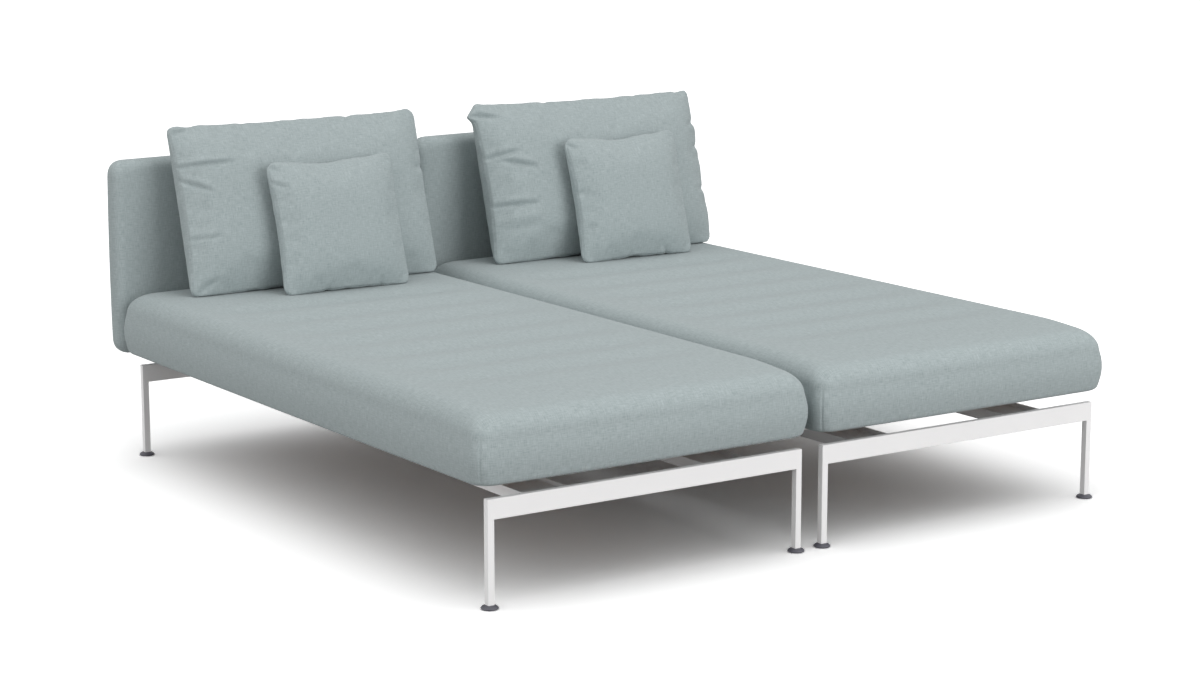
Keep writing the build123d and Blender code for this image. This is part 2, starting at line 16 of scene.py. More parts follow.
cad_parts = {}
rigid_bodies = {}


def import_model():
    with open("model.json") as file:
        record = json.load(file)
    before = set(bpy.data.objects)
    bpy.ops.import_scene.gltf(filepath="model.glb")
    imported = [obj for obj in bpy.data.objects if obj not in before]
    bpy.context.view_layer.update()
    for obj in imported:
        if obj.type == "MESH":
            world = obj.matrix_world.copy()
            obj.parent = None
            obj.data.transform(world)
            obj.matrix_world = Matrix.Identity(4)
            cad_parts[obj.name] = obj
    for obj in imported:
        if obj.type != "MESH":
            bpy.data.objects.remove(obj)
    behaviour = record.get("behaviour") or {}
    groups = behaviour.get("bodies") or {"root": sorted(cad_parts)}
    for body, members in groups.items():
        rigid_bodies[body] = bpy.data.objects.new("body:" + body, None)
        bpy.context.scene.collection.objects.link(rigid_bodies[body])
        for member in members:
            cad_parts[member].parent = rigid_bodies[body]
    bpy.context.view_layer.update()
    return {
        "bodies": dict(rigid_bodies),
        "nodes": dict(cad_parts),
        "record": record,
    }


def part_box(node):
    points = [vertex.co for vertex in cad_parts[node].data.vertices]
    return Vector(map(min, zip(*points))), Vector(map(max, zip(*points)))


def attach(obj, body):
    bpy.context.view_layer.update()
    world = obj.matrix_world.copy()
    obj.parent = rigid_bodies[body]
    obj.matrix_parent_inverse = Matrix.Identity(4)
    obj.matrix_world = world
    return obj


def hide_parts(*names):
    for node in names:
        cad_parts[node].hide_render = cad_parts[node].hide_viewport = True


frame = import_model()
MM = 0.001
SIDES = ("left", "right")

# %% [markdown]
# Colours are picked as they look on a screen, which is sRGB. Shaders add and multiply light, which is
# linear, so each picked colour is turned to linear once, here, and nowhere else.


# %% Colour and node helpers
def linear(hex_colour):
    """A linear RGBA colour from an sRGB hex value."""
    parts = [int(hex_colour[i : i + 2], 16) / 255 for i in (1, 3, 5)]
    return tuple(p / 12.92 if p <= 0.04045 else ((p + 0.055) / 1.055) ** 2.4 for p in parts) + (1.0,)


def add(tree, kind, inputs=None, **settings):
    """Add a node, set its own settings, and fill or link its inputs."""
    made = tree.nodes.new(kind)
    for key, value in settings.items():
        setattr(made, key, value)
    for key, value in (inputs or {}).items():
        if isinstance(value, bpy.types.NodeSocket):
            tree.links.new(value, made.inputs[key])
        else:
            made.inputs[key].default_value = value
    return made


def blend(tree, share, first, second):
    """A node that goes from one sRGB hex colour to another as share goes from 0 to 1."""
    inputs = {"Factor": share, "A": linear(first), "B": linear(second)}
    return add(tree, "ShaderNodeMix", inputs, data_type="RGBA")


def seen_directly(tree):
    """A value that is one for rays from the camera and their mirror images, and nought for light."""
    path = add(tree, "ShaderNodeLightPath")
    rays = {0: path.outputs["Is Camera Ray"], 1: path.outputs["Is Glossy Ray"]}
    return add(tree, "ShaderNodeMath", rays, operation="MAXIMUM").outputs["Value"]


def new_material(name):
    """An empty material with its output and main shader joined."""
    material = bpy.data.materials.new(name)
    material.use_nodes = True
    tree = material.node_tree
    tree.nodes.clear()
    shader = add(tree, "ShaderNodeBsdfPrincipled")
    add(tree, "ShaderNodeOutputMaterial", {"Surface": shader.outputs["BSDF"]})
    return material, tree, shader


# %% [markdown]
# Powder coat is dry paint powder that is baked on steel. It flows only a little before it sets, so the skin
# is smooth but not flat: it keeps a fine, shallow grain of about half a millimetre. That grain spreads the
# highlight, so the bars look satin and never mirror-like. Two noises give the grain and a slow change of
# gloss and tone.

# %% Powder coated steel
POWDER_GRAIN = 0.6 * MM
POWDER_DEPTH = 0.02 * MM
POWDER_CHANGES = 9.0
POWDER_ROUGHNESS = (0.42, 0.56)
POWDER_COLOURS = ("#F4F3F3", "#F0EFEF")


def powder_coat():
    """Warm white fine-texture powder coat over steel bar."""
    material, tree, shader = new_material("powder_coated_steel")
    place = add(tree, "ShaderNodeTexCoord").outputs["Object"]
    grain = add(tree, "ShaderNodeTexNoise", {"Vector": place, "Scale": 1 / POWDER_GRAIN, "Detail": 2.0})
    slow = add(tree, "ShaderNodeTexNoise", {"Vector": place, "Scale": POWDER_CHANGES, "Detail": 3.0})
    low, high = POWDER_ROUGHNESS
    gloss = add(tree, "ShaderNodeMapRange", {"Value": slow.outputs["Fac"], "To Min": low, "To Max": high})
    tone = blend(tree, slow.outputs["Fac"], *POWDER_COLOURS)
    bump = add(
        tree, "ShaderNodeBump", {"Height": grain.outputs["Fac"], "Strength": 0.35, "Distance": POWDER_DEPTH}
    )
    tree.links.new(tone.outputs["Result"], shader.inputs["Base Color"])
    tree.links.new(gloss.outputs["Result"], shader.inputs["Roughness"])
    tree.links.new(bump.outputs["Normal"], shader.inputs["Normal"])
    return material


# %% [markdown]
# The feet are moulded nylon. A spark-eroded mould leaves it evenly matt, dark grey with a cold cast, and the
# rim picks up a soft highlight.

# %% Moulded nylon, stainless steel
MOULD_GRAIN = 0.4 * MM
MOULD_DEPTH = 0.03 * MM
TURNING_MARKS = 0.5 * MM


def moulded_nylon():
    """Dark grey nylon with the fine texture of its mould."""
    material, tree, shader = new_material("moulded_nylon")
    place = add(tree, "ShaderNodeTexCoord").outputs["Object"]
    texture = add(tree, "ShaderNodeTexNoise", {"Vector": place, "Scale": 1 / MOULD_GRAIN, "Detail": 1.0})
    bump = add(
        tree, "ShaderNodeBump", {"Height": texture.outputs["Fac"], "Strength": 0.4, "Distance": MOULD_DEPTH}
    )
    shader.inputs["Base Color"].default_value = linear("#55555D")
    shader.inputs["Roughness"].default_value = 0.48
    shader.inputs["IOR"].default_value = 1.53
    tree.links.new(bump.outputs["Normal"], shader.inputs["Normal"])
    return material


def stainless_steel():
    """Stainless steel of bolts, nuts and screws, with the fine uneven gloss of turned metal."""
    material, tree, shader = new_material("stainless_steel")
    place = add(tree, "ShaderNodeTexCoord").outputs["Object"]
    marks = add(tree, "ShaderNodeTexNoise", {"Vector": place, "Scale": 1 / TURNING_MARKS, "Detail": 2.0})
    rough = add(tree, "ShaderNodeMapRange", {"Value": marks.outputs["Fac"], "To Min": 0.24, "To Max": 0.4})
    shader.inputs["Base Color"].default_value = linear("#B9B8B6")
    shader.inputs["Metallic"].default_value = 1.0
    tree.links.new(rough.outputs["Result"], shader.inputs["Roughness"])
    return material


# %% [markdown]
# The deck slats are oiled hardwood. Grain in a sawn slat is the cut through yearly rings: long streaks along
# the slat, a few millimetres wide, broken by fine dark pores. Stretching a noise thirty times along the slat
# gives the streaks, and a finer one gives the pores.

# %% Oiled hardwood and plywood
GRAIN_WIDTH = 5 * MM
PORE_WIDTH = 0.7 * MM
PORE_DEPTH = 0.15 * MM
ALONG_X = (0.033, 1, 1)
ALONG_Y = (1, 0.033, 1)


def wood(name, light, dark, stretch):
    """Oiled wood whose grain runs along the axis that stretch squeezes."""
    material, tree, shader = new_material(name)
    place = add(tree, "ShaderNodeTexCoord").outputs["Object"]
    along = add(tree, "ShaderNodeMapping", {"Vector": place, "Scale": stretch}).outputs["Vector"]
    streak = {"Vector": along, "Scale": 1 / GRAIN_WIDTH, "Detail": 4.0, "Distortion": 0.6}
    streaks = add(tree, "ShaderNodeTexNoise", streak)
    pores = add(tree, "ShaderNodeTexNoise", {"Vector": along, "Scale": 1 / PORE_WIDTH, "Detail": 1.0})
    both = add(
        tree, "ShaderNodeMath", {0: streaks.outputs["Fac"], 1: pores.outputs["Fac"]}, operation="MULTIPLY"
    )
    contrast = {"Value": both.outputs["Value"], "From Min": 0.12, "From Max": 0.4}
    spread = add(tree, "ShaderNodeMapRange", contrast)
    tone = blend(tree, spread.outputs["Result"], dark, light)
    bump = add(
        tree, "ShaderNodeBump", {"Height": spread.outputs["Result"], "Strength": 0.3, "Distance": PORE_DEPTH}
    )
    tree.links.new(tone.outputs["Result"], shader.inputs["Base Color"])
    tree.links.new(bump.outputs["Normal"], shader.inputs["Normal"])
    shader.inputs["Roughness"].default_value = 0.55
    return material


# %% [markdown]
# The covers are an outdoor cloth woven from spun, solution-dyed acrylic. Its yarn is uneven, so slubs run
# both ways and the grey green is a mix of paler and darker threads. A real thread is about 0.8 mm wide, which
# is finer than one pixel of the picture, so the slubs are drawn 2 mm wide to show at all, and the weave,
# drawn with threads twice as wide, is left as a fine bump for close views. Each soft piece carries a map
# called weave, in metres along its cloth, so the threads run square to its seams and keep their size.

# %% Woven outdoor acrylic
THREAD = 1.6 * MM
SLUB_WIDTH = 1.9 * MM
SLUB_LENGTH = 19 * MM
WEAVE_DEPTH = 0.25 * MM
CLOTH_PALE = "#AFB9BA"
CLOTH_DEEP = "#919C9D"


def woven_acrylic():
    """Grey green woven cloth: two directions of slub, a fine weave and a soft sheen."""
    material, tree, shader = new_material("woven_outdoor_acrylic")
    cloth = add(tree, "ShaderNodeUVMap", uv_map="weave").outputs["UV"]
    slubs = []
    for scale in ((1 / SLUB_WIDTH, 1 / SLUB_LENGTH, 1), (1 / SLUB_LENGTH, 1 / SLUB_WIDTH, 1)):
        run = add(tree, "ShaderNodeMapping", {"Vector": cloth, "Scale": scale}).outputs["Vector"]
        slub = add(tree, "ShaderNodeTexNoise", {"Vector": run, "Scale": 1.0, "Detail": 2.0, "Roughness": 0.6})
        slubs.append(slub.outputs["Fac"])
    crossed = add(tree, "ShaderNodeMath", {0: slubs[0], 1: slubs[1]}, operation="ADD").outputs["Value"]
    mottle = add(tree, "ShaderNodeMapRange", {"Value": crossed, "From Min": 0.65, "From Max": 1.35})
    tone = blend(tree, mottle.outputs["Result"], CLOTH_DEEP, CLOTH_PALE)
    count = add(
        tree, "ShaderNodeVectorMath", {0: cloth, 1: (math.pi / THREAD,) * 3}, operation="MULTIPLY"
    ).outputs["Vector"]
    split = add(tree, "ShaderNodeSeparateXYZ", {"Vector": count})
    waves = []
    for axis in ("X", "Y"):
        wave = add(tree, "ShaderNodeMath", {0: split.outputs[axis]}, operation="SINE").outputs["Value"]
        waves.append(wave)
    over = add(tree, "ShaderNodeMath", {0: waves[0], 1: waves[1]}, operation="MULTIPLY").outputs["Value"]
    height = add(tree, "ShaderNodeMath", {0: crossed, 1: over}, operation="ADD").outputs["Value"]
    bump = add(tree, "ShaderNodeBump", {"Height": height, "Strength": 0.3, "Distance": WEAVE_DEPTH})
    tree.links.new(tone.outputs["Result"], shader.inputs["Base Color"])
    tree.links.new(bump.outputs["Normal"], shader.inputs["Normal"])
    shader.inputs["Roughness"].default_value = 0.92
    shader.inputs["Specular IOR Level"].default_value = 0.25
    shader.inputs["Sheen Weight"].default_value = 0.12
    shader.inputs["Sheen Roughness"].default_value = 0.5
    return material


FINISHES = {
    "frame_paint": powder_coat(),
    "glide_plastic": moulded_nylon(),
    "bolt_steel": stainless_steel(),
    "slat_wood": wood("oiled_hardwood", "#A87B4E", "#6B4527", ALONG_Y),
    "board_wood": wood("birch_plywood", "#CDB089", "#A98557", ALONG_X),
    "upholstery_fabric": woven_acrylic(),
}
CLOTH = FINISHES["upholstery_fabric"]
print("finishes", [material.name for material in FINISHES.values()])

# %% [markdown]
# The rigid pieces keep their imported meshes. They only need a finish, picked by the slot that the record gives
# each of them, and smooth shading that stops at real edges.

# %% Finish the rigid pieces
CREASE = math.radians(32)
node_slot = {entry["node"]: entry["material_slot"] for entry in frame["record"]["subparts"]}
for name, piece in frame["nodes"].items():
    piece.data.materials.clear()
    piece.data.materials.append(FINISHES[node_slot[name]])
    piece.data.shade_smooth()
    piece.data.set_sharp_from_angle(angle=CREASE)
print("rigid and soft nodes finished", len(node_slot))

# %% [markdown]
# Every soft part here is a sewn box: a top panel, a bottom panel and a band round the side. One function
# builds that box as a net of quads. A ring of points runs round a rounded rectangle, rings are stacked to
# make the side, and both ends are closed with a patch that is stretched between the four sides of its last
# ring. Quads matter, because cloth simulation and subdivision both crease along bad triangles.


# %% A quad shell between two panels
def side_run(count, along, across, corner, bow, close):
    """Points along one side of a rounded rectangle, from the middle of a corner to the middle of the next."""
    quarter = corner * math.pi / 4
    straight = 2 * (along - corner)
    points = []
    for step in range(count):
        share = step / count
        s = (2 * quarter + straight) * (share - close * math.sin(2 * math.pi * share) / (2 * math.pi))
        if s < quarter:
            turn = math.radians(225) + s / corner
            centre = (corner - along, corner - across)
            points.append((centre[0] + corner * math.cos(turn), centre[1] + corner * math.sin(turn)))
        elif s < quarter + straight:
            x = corner - along + s - quarter
            points.append((x, -across - bow * (1 - (x / (along - corner)) ** 2)))
        else:
            turn = math.radians(270) + (s - quarter - straight) / corner
            centre = (along - corner, corner - across)
            points.append((centre[0] + corner * math.cos(turn), centre[1] + corner * math.sin(turn)))
    return points


def ring(counts, half, corner, bow, close):
    """All points of a rounded rectangle, anticlockwise from its lower left corner."""
    nx, ny = counts
    a, b = half
    lower = side_run(nx, a, b, corner, bow, close)
    right = [(-y, x) for x, y in side_run(ny, b, a, corner, bow, close)]
    return np.array(lower + right + [(-x, -y) for x, y in lower] + [(-x, -y) for x, y in right])


def patch(counts, points):
    """A grid of points stretched between the four sides of a closed ring."""
    nx, ny = counts
    loop = np.vstack([points, points[:1]])
    low, right = loop[: nx + 1], loop[nx : nx + ny + 1]
    top, left = loop[nx + ny : 2 * nx + ny + 1][::-1], loop[2 * nx + ny :][::-1]
    u = np.linspace(0, 1, nx + 1)[:, None, None]
    v = np.linspace(0, 1, ny + 1)[None, :, None]
    ruled = (1 - v) * low[:, None] + v * top[:, None] + (1 - u) * left[None] + u * right[None]
    corners = (1 - u) * (1 - v) * low[0] + u * (1 - v) * low[-1] + (1 - u) * v * top[0] + u * v * top[-1]
    return ruled - corners


def shell(name, counts, half, corner, rows, bow=0.0, close=0.0):
    """A closed shell through rows of (level, inset), with its net drawn in at the corners by close."""
    nx, ny = counts
    around = 2 * (nx + ny)
    rings = [ring(counts, (half[0] - inset, half[1] - inset), corner, bow, close) for level, inset in rows]
    points = [np.column_stack([r, np.full(around, level)]) for r, (level, inset) in zip(rings, rows)]
    verts = np.vstack(points).tolist()
    faces = []
    for row in range(len(rows) - 1):
        for k in range(around):
            n = (k + 1) % around
            base = row * around
            faces.append((base + k, base + n, base + around + n, base + around + k))
    for row, up in ((0, False), (len(rows) - 1, True)):
        grid = patch(counts, points[row])
        index = np.zeros((nx + 1, ny + 1), int)
        base = row * around
        index[:nx, 0] = base + np.arange(nx)
        index[nx, :ny] = base + nx + np.arange(ny)
        index[1:, ny] = (base + nx + ny + np.arange(nx))[::-1]
        index[0, 1:] = (base + 2 * nx + ny + np.arange(ny))[::-1]
        for i in range(1, nx):
            for j in range(1, ny):
                index[i, j] = len(verts)
                verts.append(grid[i, j].tolist())
        for i in range(nx):
            for j in range(ny):
                quad = (index[i, j], index[i + 1, j], index[i + 1, j + 1], index[i, j + 1])
                faces.append(tuple(int(q) for q in (quad if up else quad[::-1])))
    mesh = bpy.data.meshes.new(name)
    mesh.from_pydata(verts, [], faces)
    mesh.update()
    piece = bpy.data.objects.new(name, mesh)
    bpy.context.scene.collection.objects.link(piece)
    return piece


def coordinates(piece):
    """The vertices of a piece as an array."""
    flat = np.zeros(len(piece.data.vertices) * 3)
    piece.data.vertices.foreach_get("co", flat)
    return flat.reshape(-1, 3)


def move_to(piece, points):
    """Put the vertices of a piece at new places."""
    piece.data.vertices.foreach_set("co", np.asarray(points, float).ravel())
    piece.data.update()


# %% [markdown]
# Three small steps finish each soft part. A subdivision rounds the net. The weave map is laid square to the
# piece while it still lies round the origin. Then the piece is placed, given its cloth and told which body it
# rides on, and the solid that it stands for is hidden.


# %% Finish a soft part
def freeze(piece):
    """Replace a piece's mesh with what its modifiers make of it."""
    depsgraph = bpy.context.evaluated_depsgraph_get()
    mesh = bpy.data.meshes.new_from_object(piece.evaluated_get(depsgraph), depsgraph=depsgraph)
    piece.modifiers.clear()
    old = piece.data
    piece.data = mesh
    bpy.data.meshes.remove(old)


def subdivide(piece, levels=1):
    """Round the net of a piece by subdivision."""
    piece.modifiers.new("round", "SUBSURF").levels = levels
    freeze(piece)


def lay_weave(piece):
    """Map the cloth on each face square to the axis that it faces most."""
    mesh = piece.data
    layer = mesh.uv_layers.new(name="weave")
    corners = np.zeros(len(mesh.loops), int)
    mesh.loops.foreach_get("vertex_index", corners)
    points = coordinates(piece)[corners]
    normals = np.zeros(len(mesh.polygons) * 3)
    mesh.polygons.foreach_get("normal", normals)
    totals = np.zeros(len(mesh.polygons), int)
    mesh.polygons.foreach_get("loop_total", totals)
    facing = np.repeat(np.abs(normals.reshape(-1, 3)).argmax(1), totals)
    pairs = np.array([(1, 2), (0, 2), (0, 1)])[facing]
    rows = np.arange(len(points))
    uvs = np.column_stack([points[rows, pairs[:, 0]], points[rows, pairs[:, 1]]])
    layer.data.foreach_set("uv", uvs.ravel())


def dress(piece, node):
    """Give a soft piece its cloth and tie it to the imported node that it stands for."""
    piece.data.materials.append(CLOTH)
    piece.data.shade_smooth()
    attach(piece, node + "_body" if node + "_body" in frame["bodies"] else "frame")
    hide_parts(node)
    return piece


def middle_of(node):
    """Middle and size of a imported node's box."""
    low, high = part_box(node)
    return (low + high) / 2, high - low


# %% [markdown]
# A mattress is a block of firm foam in a tight cover. The foam fills the cover, so there is no slack to
# wrinkle, only a crown on top, a big soft top edge, bulging sides and an even row of shallow dips across the
# lounging surface. Those are smooth forms with known sizes, so the mattress is drawn as rows of level and
# inset, and the dips are added as a formula. They fade out towards the sides, the foot and the pillows, and
# wander a little, as sewn foam does. The side band is sewn at the four upright corners, so the net is drawn
# close together there and its corner line is pulled in by the depth of that seam.

# %% Mattresses
TOP_RADIUS = 50 * MM
BOTTOM_RADIUS = 14 * MM
SOLE_INSET = 30 * MM
BULGE = 6 * MM
CROWN = 3 * MM
CROWN_POWERS = (2, 6)
MATTRESS_CORNER = 38 * MM
FOOT_FALL = 9 * MM
FOOT_FALL_REACH = 190 * MM
SIDE_SPARE = 2 * MM
SIDE_BOW = 2 * MM
DIP_PITCH = 162 * MM
DIP_DEPTH = 12 * MM
DIP_SHARPNESS = 1.1
DIP_FIRST = -520 * MM
DIP_FADE_SIDE = (210 * MM, 30 * MM)
DIP_FADE_FOOT = (480 * MM, 40 * MM)
DIP_FADE_HEAD = (390 * MM, 310 * MM)
TOP_BAND = (22 * MM, 4 * MM)
WANDER_ACROSS = (0.16, 0.19)
WANDER_ALONG = (0.12, 0.27)
NET = (64, 124)
NET_CLOSE = 0.8
SEAM_DEPTH = 2.6 * MM
SEAM_START = 8 * MM
SEAM_TOP = 118 * MM
SEAM_FADE = 30 * MM
MATTRESS_SEED = 11


def mattress_rows(height):
    """Rows of (level, inset) up the side of a mattress, from its sole to the end of its top radius."""
    high = height - CROWN - TOP_RADIUS
    rows = [(0, BULGE + BOTTOM_RADIUS + SOLE_INSET)]
    for turn in range(0, 91, 18):
        bend = math.radians(turn)
        rows.append((BOTTOM_RADIUS * (1 - math.cos(bend)), BULGE + BOTTOM_RADIUS * (1 - math.sin(bend))))
    for share in (-0.6, -0.2, 0.2, 0.6):
        rows.append((BOTTOM_RADIUS + (high - BOTTOM_RADIUS) * (share + 1) / 2, BULGE * share**2))
    for turn in range(0, 91, 10):
        bend = math.radians(turn)
        rows.append((high + TOP_RADIUS * math.sin(bend), BULGE + TOP_RADIUS * (1 - math.cos(bend))))
    return rows


def smooth(low, high, value):
    """A soft step from 0 at low to 1 at high."""
    share = np.clip((value - low) / (high - low), 0, 1)
    return share * share * (3 - 2 * share)


def sink_seams(points, rows):
    """Pull in the points on the four upright corner seams of a mattress."""
    corners = np.array((0, NET[0], sum(NET), NET[0] + sum(NET)))
    for row, (level, inset) in enumerate(rows):
        seam = row * 2 * sum(NET) + corners
        fade = smooth(0, SEAM_START, level) * (1 - smooth(SEAM_TOP - SEAM_FADE, SEAM_TOP, level))
        points[seam, :2] -= SEAM_DEPTH * fade * np.sign(points[seam, :2]) / math.sqrt(2)


def dip_shape(x, y, half, phase):
    """How deep the dips are at each point, from nought to one."""
    near, far = DIP_FADE_SIDE
    fade = 1 - smooth(half[0] - near, half[0] - far, abs(x))
    near, far = DIP_FADE_FOOT
    ends = 1 - smooth(half[1] - near, half[1] - far, -y)
    near, far = DIP_FADE_HEAD
    ends = ends * (1 - smooth(half[1] - near, half[1] - far, y))
    across = WANDER_ACROSS[0] * np.sin(x / WANDER_ACROSS[1] + phase[0])
    wander = across + WANDER_ALONG[0] * np.sin(y / WANDER_ALONG[1] + phase[1])
    turn = 2 * math.pi * (y - DIP_FIRST) / DIP_PITCH
    return (0.5 + 0.5 * np.cos(turn + wander)) ** DIP_SHARPNESS * fade * ends


def make_mattress(side, seed):
    """One mattress, replacing its packed block."""
    node = side + "_mattress"
    middle, size = middle_of(node)
    half = (size.x / 2 - SIDE_SPARE, size.y / 2 - SIDE_SPARE)
    rows = mattress_rows(size.z)
    piece = shell(side + "_mattress_cushion", NET, half, MATTRESS_CORNER, rows, bow=SIDE_BOW, close=NET_CLOSE)
    points = coordinates(piece)
    sink_seams(points, rows)
    x, y, z = points.T
    top = smooth(size.z - TOP_BAND[0], size.z - TOP_BAND[1], z)
    crown = CROWN * (1 - (x / half[0]) ** CROWN_POWERS[0]) * (1 - (y / half[1]) ** CROWN_POWERS[1])
    rng = np.random.default_rng(seed)
    phase = rng.uniform(0, 2 * math.pi, 3)
    z = z + top * (crown - DIP_DEPTH * dip_shape(x, y, half, phase))
    fall = 1 - smooth(-half[1], FOOT_FALL_REACH - half[1], y)
    z = z - FOOT_FALL * fall * np.clip(z / size.z, 0, 1)
    move_to(piece, np.column_stack([x, y, z]))
    subdivide(piece)
    lay_weave(piece)
    move_to(piece, coordinates(piece) + np.array((middle.x, middle.y, middle.z - size.z / 2)))
    return dress(piece, node)


for number, side in enumerate(SIDES):
    make_mattress(side, MATTRESS_SEED + number)
print("mattresses", len(SIDES))

# %% [markdown]
# The padded backs are thin slabs of foam over a board, upholstered tight. They are built as the mattresses
# are, lying down, and then stood up.

# %% Padded backs
BACK_RADIUS = 25 * MM
BACK_CORNER = 32 * MM
BACK_NET = (64, 38)


def make_back(side):
    """One padded back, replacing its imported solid."""
    node = side + "_padded_back"
    middle, size = middle_of(node)
    half = (size.x / 2 - SIDE_SPARE, size.z / 2 - SIDE_SPARE)
    deep = size.y
    rows = []
    for turn in range(0, 91, 15):
        bend = math.radians(turn)
        rows.append((BACK_RADIUS * (1 - math.cos(bend)), BACK_RADIUS * (1 - math.sin(bend))))
    rows += [(deep - level, inset) for level, inset in reversed(rows)]
    piece = shell(side + "_back_cushion", BACK_NET, half, BACK_CORNER, rows, bow=SIDE_BOW)
    subdivide(piece)
    lay_weave(piece)
    x, y, z = coordinates(piece).T
    move_to(piece, np.column_stack([middle.x + x, middle.y + deep / 2 - z, middle.z + y]))
    piece.data.flip_normals()
    return dress(piece, node)


for side in SIDES:
    make_back(side)
print("padded backs", len(SIDES))

# %% [markdown]
# A pillow cover is two panels and a narrow band, sewn into a box and filled loosely with fibre. Three things
# give it its look: the seam, which runs nearly straight but is nicked where stitches pull; the panels, which
# swell out from it; and a few folds, where the sides of the panel have more cloth than the seam can take.
# The seam's outline and the swell are drawn here by formula, and the band is nipped at its corners.

# %% The sewn form of a pillow
BAND_NIP = 0.35
SHOULDER = 0.12
SHOULDER_POWER = 0.85
NICK_REACH = 2.2
NICK_CORNER = 0.525
PANEL_FROM = 0.4
NIP_POWERS = (10, 8)


def panel_swell(x, y, half, reach):
    """Share of the crown over a panel: nought at the seam, one in the middle, with full shoulders."""
    powers = [math.log(SHOULDER) / math.log(1 - reach / h) for h in half]
    across = 1 - np.clip(abs(x) / half[0], 0, 1) ** powers[0]
    upwards = 1 - np.clip(abs(y) / half[1], 0, 1) ** powers[1]
    return np.clip(across * upwards, 0, 1) ** SHOULDER_POWER


def nick(points, half, place, depth, width):
    """Pull the seam in at one place, given as shares of the half sizes, and slantwise near a corner."""
    at = np.array((place[0] * half[0], place[1] * half[1]))
    inwards = -np.sign(place) * (np.abs(place) > NICK_CORNER)
    away = points[:, :2] - at
    along = away @ np.array((-inwards[1], inwards[0]))
    deep = np.abs(away @ inwards)
    pull = depth * np.exp(-((along / width) ** 2)) * np.exp(-((deep / (NICK_REACH * width)) ** 2))
    return points + np.column_stack([pull[:, None] * inwards, np.zeros(len(points))])


def sewn_form(name, size, edge, crowns, reach, corner, cell, draw, nicks):
    """The cover of a pillow before its cloth is let loose, lying round the origin with its front to +Z."""
    rows = [(share * edge, 0) for share in (-0.5, -1 / 6, 1 / 6, 0.5)]
    half = (size[0] / 2, size[1] / 2)
    counts = (round(size[0] / cell), round(size[1] / cell))
    piece = shell(name, counts, half, corner, rows, bow=-draw)
    points = coordinates(piece)
    x, y, z = points.T
    share = panel_swell(x, y, half, reach)
    behind = np.where(z < -edge * PANEL_FROM, -crowns[1] * share, 0)
    rise = np.where(z > edge * PANEL_FROM, crowns[0] * share, behind)
    near = [np.clip(abs(v) / h, 0, 1) ** power for v, h, power in zip((x, y), half, NIP_POWERS)]
    points = np.column_stack([x, y, z * (1 - BAND_NIP * (near[0] * near[1])) + rise])
    for place, depth, width in nicks:
        points = nick(points, half, place, depth, width)
    move_to(piece, points)
    around = 2 * sum(counts)
    seams = list(range(around)) + list(range(3 * around, 4 * around))
    return piece, seams


# %% [markdown]
# The cloth itself is then simulated. The two seams are pinned where they were drawn, the cloth between them
# is given a little more length than it needs, and a light pressure stands for the filling. Cloth bends easily
# but hardly stretches, so the spare length turns into puckers along the seams and at the corners. A cap on
# how far a point may move keeps the drawn form.

# %% Cloth simulation of a pillow cover
SLACK = 0.007
PRESSURE = 1.0
STEPS = 20
MOST_MOVED = 3 * MM
STRETCH_STIFFNESS = 40
SHEAR_STIFFNESS = 20
BENDING_STIFFNESS = 5
SOLVER_QUALITY = 6
POINT_MASS = 0.2


def settle(piece, seams):
    """Let the cloth between pinned seams wrinkle under a light pressure, and keep the result."""
    scene = bpy.context.scene
    drawn = coordinates(piece)
    piece.vertex_groups.new(name="seam").add(seams, 1.0, "REPLACE")
    cloth = piece.modifiers.new("cloth", "CLOTH")
    settings = cloth.settings
    settings.quality = SOLVER_QUALITY
    settings.mass = POINT_MASS
    settings.tension_stiffness = STRETCH_STIFFNESS
    settings.compression_stiffness = STRETCH_STIFFNESS
    settings.shear_stiffness = SHEAR_STIFFNESS
    settings.bending_stiffness = BENDING_STIFFNESS
    settings.vertex_group_mass = "seam"
    settings.shrink_min = -SLACK
    settings.use_pressure = True
    settings.uniform_pressure_force = PRESSURE
    settings.effector_weights.gravity = 0
    cloth.collision_settings.use_collision = False
    cloth.point_cache.frame_end = STEPS
    for step in range(1, STEPS + 1):
        scene.frame_set(step)
    freeze(piece)
    scene.frame_set(1)
    moved = coordinates(piece) - drawn
    length = np.linalg.norm(moved, axis=1, keepdims=True)
    print("cloth moved", piece.name, "by up to", round(float(length.max()) / MM, 1), "mm")
    move_to(piece, drawn + moved * (MOST_MOVED / np.maximum(length, MOST_MOVED)))


# %% [markdown]
# The folds that catch the eye have known places, so they are pressed in one by one afterwards. A fold is a
# valley that fades at both ends, with a low roll of pushed-up cloth on the left of its run. A corner that has
# been pinched or pushed is tugged to its place, and the two seams are pressed in as fine grooves.

# %% Folds, corners, seams and placing
SEAM_GROOVE = 1.6 * MM
SEAM_WIDTH = 2.4 * MM
SEAM_SAMPLES = 6
FOLD_START = 0.12
FOLD_FADE = 0.7
ROLL_SHARE = 0.55
ROLL_PLACE = 2.4
ROLL_WIDTH = 1.5
FRONT_FROM = (-4 * MM, 8 * MM)


def fold(points, half, start, end, depth, width):
    """Press a fold into the front of a pillow, between two places given as shares of its half sizes."""
    a = np.array((start[0] * half[0], start[1] * half[1]))
    b = np.array((end[0] * half[0], end[1] * half[1]))
    run = b - a
    length = np.linalg.norm(run)
    along = np.clip((points[:, :2] - a) @ run / length**2, 0, 1)
    away = points[:, :2] - a - along[:, None] * run
    across = np.linalg.norm(away, axis=1) * np.sign(away @ np.array((-run[1], run[0]))) / width
    fade = np.sin(math.pi * np.clip(FOLD_START + (1 - FOLD_START) * along, 0, 1)) ** FOLD_FADE
    form = np.exp(-(across**2)) - ROLL_SHARE * np.exp(-(((across - ROLL_PLACE) / ROLL_WIDTH) ** 2))
    front = smooth(*FRONT_FROM, points[:, 2])
    return points - np.column_stack([np.zeros((len(points), 2)), depth * fade * form * front])


